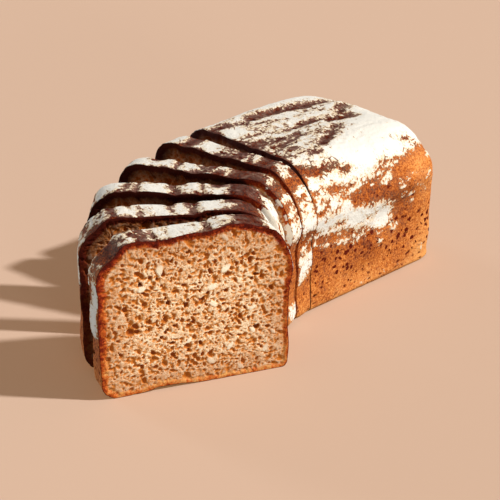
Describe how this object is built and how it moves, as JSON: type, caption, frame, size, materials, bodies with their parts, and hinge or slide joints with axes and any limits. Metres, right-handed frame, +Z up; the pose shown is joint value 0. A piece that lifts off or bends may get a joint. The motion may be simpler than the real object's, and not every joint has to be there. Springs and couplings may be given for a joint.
{
  "type": "rye bread",
  "caption": "Floured rye tin loaf, partly sliced: slices of even thickness fanned out in an arc before the uncut rest of the loaf.",
  "frame": {"origin": "middle of the whole object's plan, on the surface that it stands on", "axes": "+Z up; +Y along the uncut rest of the loaf, from the slices to its rounded far end; +X towards the long side beside which the slices stay together"},
  "size_m": [0.1447, 0.269, 0.0918],
  "materials": {
    "crust": "dull baked rye crust, dusted with flour on the crown",
    "crumb": "dull open rye crumb with a thin browned crust"
  },
  "bodies": {
    "root": {"loaf": "crust", "slice_1": "crumb", "slice_2": "crumb", "slice_3": "crumb", "slice_4": "crumb", "slice_5": "crumb"}
  },
  "joints": []
}
